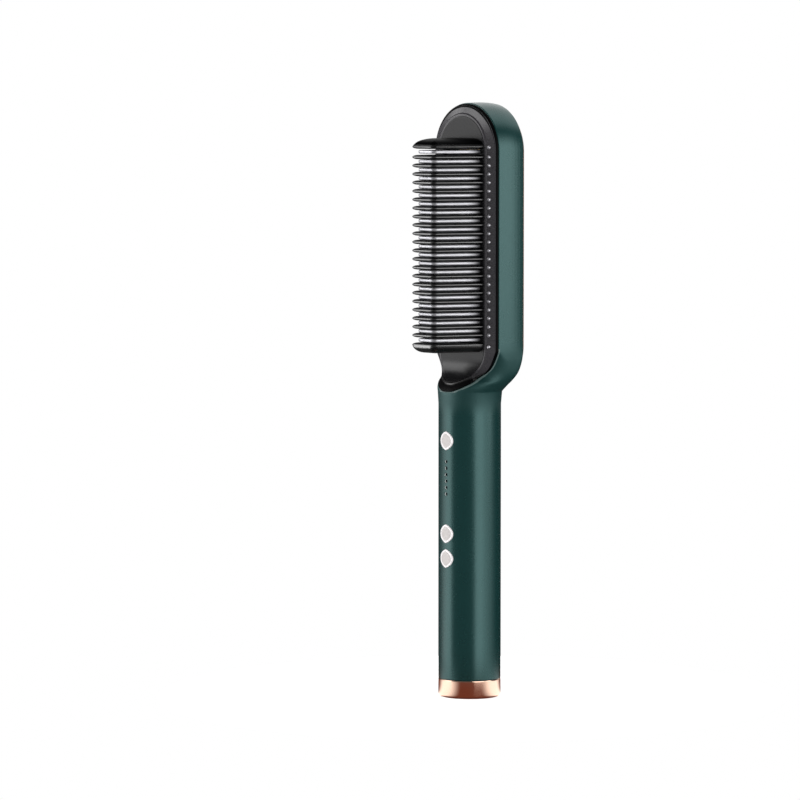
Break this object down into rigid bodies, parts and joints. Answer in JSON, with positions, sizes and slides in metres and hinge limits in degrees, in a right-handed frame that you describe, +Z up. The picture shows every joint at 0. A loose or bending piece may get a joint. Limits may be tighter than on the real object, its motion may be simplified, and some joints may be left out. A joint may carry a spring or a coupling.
{
  "type": "hair straightening brush",
  "caption": "Corded hair straightening brush with a round handle, an oval head and a heated comb, three push buttons on the handle and a swivel for the supply cord",
  "frame": {"origin": "middle of the handle's bottom face, at the mouth of the bore for the supply cord, on the axis of the round handle", "axes": "+Z runs up the handle's axis towards the top of the head, -Y is the front with the comb and the buttons, +X is the user's right when the front is seen with the head up"},
  "size_m": [0.0464, 0.0455, 0.285],
  "materials": {
    "shell_green": "dark green satin lacquer with soft broad highlights",
    "rose_gold": "plastic with a vacuum plated rose gold layer",
    "panel_green": "very dark green satin lacquer",
    "frame_grey": "dark grey fine grained heat resistant plastic",
    "comb_black": "black glossy heat resistant plastic",
    "fin_metal": "smooth coated aluminium with bright highlights",
    "film_amber": "amber insulating film",
    "electrode_metal": "plain aluminium strip",
    "heating_ceramic": "unglazed fired ceramic",
    "spring_steel": "plain spring steel",
    "screw_steel": "zinc plated steel",
    "shield_metal": "plain rolled aluminium sheet",
    "sensor_glass": "glass bead",
    "fuse_metal": "plain aluminium can",
    "lead_cream": "cream silicone insulation",
    "lead_black": "black silicone insulation",
    "lead_red": "dark red silicone insulation",
    "inner_plastic": "black moulded plastic",
    "board_green": "green solder mask on glass fibre laminate",
    "chip_black": "black moulded epoxy",
    "capacitor_yellow": "yellow moulded case",
    "capacitor_blue": "dark blue shrink sleeve",
    "varistor_blue": "blue dipped coating",
    "led_white": "white diffuse package",
    "light_clear": "clear moulded plastic with frosted pin ends",
    "button_white": "white glossy rim with a pinkish grey centre",
    "plunger_white": "natural moulded plastic",
    "cap_copper": "plastic with a vacuum plated copper coloured layer",
    "swivel_black": "black moulded plastic",
    "contact_brass": "plain brass",
    "holder_white": "unglazed steatite ceramic"
  },
  "bodies": {
    "brush": {"housing_shell": "shell_green", "back_trim_ring": "rose_gold", "back_panel": "panel_green", "front_frame": "frame_grey", "comb_guard": "comb_black", "heater_fins": "fin_metal", "front_film": "film_amber", "front_electrode": "electrode_metal", "ptc_elements": "heating_ceramic", "rear_electrode": "electrode_metal", "rear_film": "film_amber", "heater_clamp": "spring_steel", "heater_screws": "screw_steel", "heat_shield": "shield_metal", "thermistor": "sensor_glass", "thermal_fuse": "fuse_metal", "guard_screws": "screw_steel", "heater_leads": "lead_cream", "sensor_leads": "lead_black", "board_carrier": "inner_plastic", "circuit_board": "board_green", "board_screws": "screw_steel", "microcontroller": "chip_black", "triac": "chip_black", "film_capacitor": "capacitor_yellow", "smoothing_capacitor": "capacitor_blue", "varistor": "varistor_blue", "indicator_leds": "led_white", "light_guide": "light_clear", "tact_switches": "chip_black", "end_cap": "cap_copper", "swivel_retainer": "inner_plastic", "retainer_screws": "screw_steel", "brush_holder": "holder_white", "contact_brushes": "contact_brass", "supply_leads": "lead_red"},
    "power_key": {"power_button": "button_white", "power_plunger": "plunger_white"},
    "plus_key": {"plus_button": "button_white", "plus_plunger": "plunger_white"},
    "minus_key": {"minus_button": "button_white", "minus_plunger": "plunger_white"},
    "swivel": {"cord_swivel": "swivel_black", "slip_rings": "contact_brass"}
  },
  "joints": [
    {"name": "power_press", "type": "slide", "parent": "brush", "child": "power_key", "axis": [0, 1, 0], "range_m": [0, 0.0004], "stiffness_N_per_m": 2000},
    {"name": "plus_press", "type": "slide", "parent": "brush", "child": "plus_key", "axis": [0, 1, 0], "range_m": [0, 0.0004], "stiffness_N_per_m": 2000},
    {"name": "minus_press", "type": "slide", "parent": "brush", "child": "minus_key", "axis": [0, 1, 0], "range_m": [0, 0.0004], "stiffness_N_per_m": 2000},
    {"name": "swivel_turn", "type": "hinge", "parent": "brush", "child": "swivel", "pos_m": [0, 0, 0], "axis": [0, 0, 1], "continuous": true}
  ]
}
